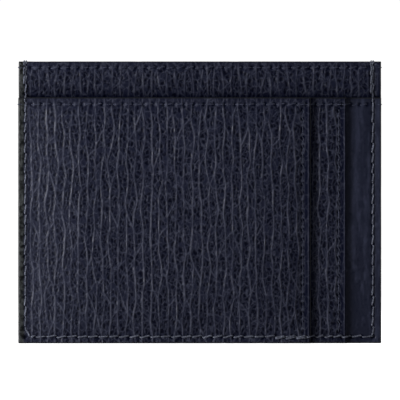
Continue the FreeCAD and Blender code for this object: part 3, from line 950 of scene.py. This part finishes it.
# One run of stitches that dips into every hole. level gives the leather's height at a place,
# out is -1 on the front and 1 on the back.
def stitchRun(along, across, holes, level, look, seed, out=-1, start=None, end=None, slant=1.0):
    rng = np.random.default_rng(seed)
    points = []

    def place(s, side, height):
        y = level(s) + out * height
        return (s, y, across + side) if along == "x" else (across + side, y, s)

    if start is not None:
        points += start
    for i, hole in enumerate(holes):
        lean = look["slant"] * slant * rng.uniform(0.1, 1.9)
        lift = look["proud"] * rng.uniform(0.6, 1.3)
        gap = look["gap"]
        if i > 0 or start is not None:
            points.append(place(hole - 2.0 * gap, lean * 0.8, lift))
            points.append(place(hole - gap, lean, lift * 0.2))
        points.append(place(hole, 0, -look["sink"]))
        if i < len(holes) - 1 or end is not None:
            points.append(place(hole + gap, -lean, lift * 0.2))
            points.append(place(hole + 2.0 * gap, -lean * 0.8, lift))
    if end is not None:
        points += end
    return points


seamSink = 0.12  # how deep the middle of a thread lies in the leather


def bottomLevel(s, sink=seamSink):
    if s < frontMouth:
        return frontFace + sink
    return (secondFace if s < secondMouth else baseFace) + sink


def sideLevel(face):
    return lambda s: (face if s < pocketTop else bandFace) + seamSink


# Over the top edge, from the front to the back
def overTop(x):
    over, middle = topEdge + 0.06, (bandFace + backFace) / 2
    way = ((bandFace + 0.05, topEdge - 0.45), (bandFace + 0.1, topEdge - 0.05), (bandFace + 0.35, over),
           (middle, over + 0.03), (backFace - 0.35, over), (backFace - 0.1, topEdge - 0.05),
           (backFace - 0.02, topEdge - 0.5), (backFace - 0.05, sideHoles[-1] + 0.3), (backFace - 0.6, sideHoles[-1]))
    return [(x, y, z) for y, z in way]


# Where the second run of a back stitch lies beside the first, and the corner stitch at the bottom left
tack = {"side": -0.42, "overSide": 0.12, "low": -0.25, "corner": 1.25, "bottomLift": 0.12, "thick": 0.5}
proudThread = dict(seamThread, proud=0.3)

needle = []
for number, (seam, face) in enumerate(((leftSeam, frontFace), (rightSeam, baseFace))):
    level = sideLevel(face)
    mainHoles, start = sideHoles, None
    if seam == leftSeam:  # the lowest stitch on the left slants into the corner
        mainHoles = sideHoles[1:]
        corner = level(bottomSeam)
        start = [(seam + tack["corner"], corner + seamThread["sink"], bottomSeam),
                 (seam + 1.05, corner - 0.05, bottomSeam + 0.3), (seam + 0.75, corner - 0.12, bottomSeam + 1.0)]
    mainRun = stitchRun("z", seam, mainHoles, level, seamThread, 301 + number, start=start,
                        end=overTop(seam + tack["overSide"]))
    needle += twistedThread(mainRun, seamThread)
    again = sideHoles[-4:] if number else sideHoles[-3:]
    backStitch = stitchRun("z", seam + tack["side"], again, level, proudThread, 305 + number,
                           end=overTop(seam + tack["side"]), slant=0.5)
    needle += twistedThread(backStitch, seamThread, 1.3)
alongBottom = bottomHoles.copy()
alongBottom[0] += tack["corner"]
bottomRun = stitchRun("x", bottomSeam + tack["bottomLift"], alongBottom, bottomLevel, seamThread, 311, slant=1.5)
needle += twistedThread(bottomRun, seamThread)
lastFront = bottomHoles[bottomHoles < frontMouth][-4:]
lowRun = stitchRun("x", bottomSeam + tack["low"], lastFront, bottomLevel, proudThread, 313, slant=1.2)
needle += twistedThread(lowRun, dict(seamThread, size=tack["thick"]), 0.8)
threadAngle = 2.5  # keeps the plies smooth
finishPiece(joinTubes("outerSeamStitches", needle, seamFibre, threadAngle), "outer_seam_needle_thread")

bobbin = []
for way, seam, holes, seed in (
        ("z", leftSeam, sideHoles, 321), ("z", rightSeam, sideHoles, 322), ("x", bottomSeam, bottomHoles, 325)):
    run = stitchRun(way, seam, holes, lambda s: backFace - seamSink, seamThread, seed, out=1)
    bobbin += twistedThread(run, seamThread)
finishPiece(joinTubes("outerSeamBackStitches", bobbin, seamFibre, threadAngle), "outer_seam_bobbin_thread")


# The tail of a row, drawn round the side edge: how far in from it, and how deep
def edgeTail(edge, front, back, z):
    way = 1 if edge > 0 else -1
    path = ((1.5, front + 0.2), (0.5, front + 0.06), (0.02, front + 0.22), (-0.03, (front + back) / 2),
            (0.02, back - 0.22), (0.5, back - 0.05))
    return [(edge - way * inside, y, z) for inside, y in path]


hemSink, liningSink = 0.14, 0.17
tailThread = dict(hemThread, size=0.32)
hemBackThread = dict(hemThread, sink=0.12)


def hem(name, row, along, across, holes, level, backY, seed, tails=()):
    stitches = twistedThread(stitchRun(along, across, holes, level, hemThread, seed), hemThread)
    for tail in tails:
        stitches += twistedThread(edgeTail(*tail, across), tailThread)
    finishPiece(joinTubes(name + "Stitches", stitches, hemFibre, threadAngle), row + "_needle_thread")
    backRun = stitchRun(along, across, holes, lambda s: backY, hemBackThread, seed + 1, out=1)
    backStitches = twistedThread(backRun, hemThread)
    finishPiece(joinTubes(name + "BackStitches", backStitches, hemFibre, threadAngle), row + "_bobbin_thread")


hem("topHem", "top_hem", "x", topHem, topHemHoles, lambda s: bandFace + hemSink, backFace - hemSink, 331,
    [(leftEdge, bandFace, backFace), (rightEdge, bandFace, backFace)])
hem("pocketHem", "pocket_hem", "x", pocketHem, pocketHemHoles, lambda s: bottomLevel(s, hemSink),
    pocketBack - liningSink, 335, [(leftEdge, frontFace, backFace), (rightEdge, baseFace, backFace)])
# The leather is thinned towards a mouth, so the stitches lie deeper there
hem("secondMouthHem", "second_mouth_hem", "z", secondMouthHem, mouthHoles, lambda s: secondFace + 0.33 + hemSink,
    secondBack - liningSink, 339)
hem("frontMouthHem", "front_mouth_hem", "z", frontMouthHem, mouthHoles, lambda s: frontFace + 0.22 + hemSink,
    frontBack - liningSink, 343)
print("stitches made")

# Light and floor
studio = {
    "world": 0.02, "worldTint": (0.9, 0.94, 1.0), "floor": 4000.0, "floorGlow": 1.05, "floorFill": 0.04, "grey": 0.8,
    "left": (2.75, 250.0, 500.0, 58.0, 5.0), "right": (0.35, 300.0, 700.0, -60.0, 5.0),
    "top": (0.4, 400.0, 750.0, 0.0, 70.0), "backLeft": (3.2, 500.0, 700.0, 125.0, 14.0),
    "backRight": (2.2, 500.0, 700.0, -130.0, 14.0),
}


def softLight(name, watts, size, distance, turn, lift):
    data = bpy.data.lights.new(name, "AREA")
    data.shape = "SQUARE"
    data.size = size * mm
    data.energy = watts
    obj = newObject(name, data)
    turn, lift = math.radians(turn), math.radians(lift)
    aim = Vector((0, 0, (bottomEdge + topEdge) / 2))
    way = Vector((-math.sin(turn) * math.cos(lift), -math.cos(turn) * math.cos(lift), math.sin(lift)))
    obj.location = (aim + way * distance) * mm
    obj.rotation_euler = (-way).to_track_quat("-Z", "Y").to_euler()


for name in ("left", "right", "top", "backLeft", "backRight"):
    softLight(name + "Softbox", *studio[name])

world = bpy.data.worlds.new("studio")
bpy.context.scene.world = world
world.use_nodes = True
tree = world.node_tree
tree.nodes.clear()
seen = addNode(tree, "ShaderNodeBackground", {0: (*white, 1), 1: studio["floorGlow"]})
fill = addNode(tree, "ShaderNodeBackground", {0: (*studio["worldTint"], 1), 1: studio["world"]})
cameraRay = addNode(tree, "ShaderNodeLightPath", {}, "Is Camera Ray")
choose = addNode(tree, "ShaderNodeMixShader", {0: cameraRay, 1: fill, 2: seen})
plug(tree, tree.nodes.new("ShaderNodeOutputWorld"), {"Surface": choose})

floorMaterial, tree, shader = newMaterial("paleFloor")
cameraRay = addNode(tree, "ShaderNodeLightPath", {}, "Is Camera Ray")
glow = addNode(tree, "ShaderNodeMapRange", {"Value": cameraRay, "To Min": studio["floorFill"],
                                            "To Max": studio["floorGlow"]})
plug(tree, shader, {"Base Color": (*(studio["grey"],) * 3, 1), "Roughness": 0.9, "Specular IOR Level": 0.0,
                    "Emission Color": (*white, 1), "Emission Strength": glow})
half = studio["floor"] / 2
floorMesh = bpy.data.meshes.new("floor")
floorMesh.from_pydata([(x * half * mm, y * half * mm, 0) for x, y in ((-1, -1), (1, -1), (1, 1), (-1, 1))], [],
                      [(0, 1, 2, 3)])
floor = newObject("floor", floorMesh)
floorMesh.materials.append(floorMaterial)
bpy.context.scene.view_settings.view_transform = "Standard"
print("studio made")
